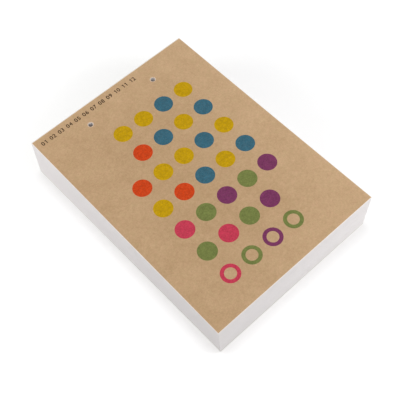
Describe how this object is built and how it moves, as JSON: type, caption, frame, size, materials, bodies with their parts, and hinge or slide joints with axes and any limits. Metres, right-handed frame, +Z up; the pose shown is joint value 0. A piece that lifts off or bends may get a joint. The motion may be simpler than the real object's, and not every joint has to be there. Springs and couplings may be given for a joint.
{
  "type": "tear-off day calendar",
  "caption": "Thick block of white dated leaves under a kraft card cover, glued along the head and drilled with two hanging holes; the cover turns back and leaves lift and tear off.",
  "frame": {"origin": "on the resting face of the backing board, under the middle of the block with its glue film", "axes": "+Z up out of the cover, +Y towards the glued head with the hanging holes, +X to the right"},
  "size_m": [0.15, 0.2084, 0.0385],
  "materials": {
    "kraft_card": "uncoated brown kraft with fine fibres, printed in matt inks",
    "leaf_paper": "uncoated white, cut edges",
    "white_lined_board": "white-lined, uncoated",
    "padding_glue": "brushed-on film, dried milky, slight sheen"
  },
  "bodies": {
    "pad": {"back_board": "white_lined_board", "head_glue": "padding_glue", "december_leaves": "leaf_paper", "november_leaves": "leaf_paper", "october_leaves": "leaf_paper", "september_leaves": "leaf_paper", "august_leaves": "leaf_paper", "july_leaves": "leaf_paper", "june_leaves": "leaf_paper", "may_leaves": "leaf_paper", "april_leaves": "leaf_paper", "march_leaves": "leaf_paper", "february_leaves": "leaf_paper", "january_leaves": "leaf_paper"},
    "day_leaf_7": {"day_leaf_7": "leaf_paper", "head_glue_leaves": "padding_glue"},
    "day_leaf_1": {"day_leaf_1": "leaf_paper"},
    "day_leaf_2": {"day_leaf_2": "leaf_paper"},
    "day_leaf_3": {"day_leaf_3": "leaf_paper"},
    "day_leaf_4": {"day_leaf_4": "leaf_paper"},
    "day_leaf_5": {"day_leaf_5": "leaf_paper"},
    "day_leaf_6": {"day_leaf_6": "leaf_paper"},
    "front_cover": {"front_cover": "kraft_card", "head_glue_cover": "padding_glue"}
  },
  "joints": [
    {"name": "leaves_lift", "type": "hinge", "parent": "pad", "child": "day_leaf_7", "pos_m": [0, 0.1042, 0.0374], "axis": [-1, 0, 0], "range_deg": [0, 85]},
    {"name": "cover_turn", "type": "hinge", "parent": "day_leaf_7", "child": "front_cover", "pos_m": [0, 0.1042, 0.0381], "axis": [-1, 0, 0], "range_deg": [0, 180]},
    {"name": "day_leaf_1_tear", "type": "slide", "parent": "day_leaf_7", "child": "day_leaf_1", "axis": [0, -1, 0], "range_m": [0, 0.22]},
    {"name": "day_leaf_2_tear", "type": "slide", "parent": "day_leaf_7", "child": "day_leaf_2", "axis": [0, -1, 0], "range_m": [0, 0.22]},
    {"name": "day_leaf_3_tear", "type": "slide", "parent": "day_leaf_7", "child": "day_leaf_3", "axis": [0, -1, 0], "range_m": [0, 0.22]},
    {"name": "day_leaf_4_tear", "type": "slide", "parent": "day_leaf_7", "child": "day_leaf_4", "axis": [0, -1, 0], "range_m": [0, 0.22]},
    {"name": "day_leaf_5_tear", "type": "slide", "parent": "day_leaf_7", "child": "day_leaf_5", "axis": [0, -1, 0], "range_m": [0, 0.22]},
    {"name": "day_leaf_6_tear", "type": "slide", "parent": "day_leaf_7", "child": "day_leaf_6", "axis": [0, -1, 0], "range_m": [0, 0.22]}
  ]
}
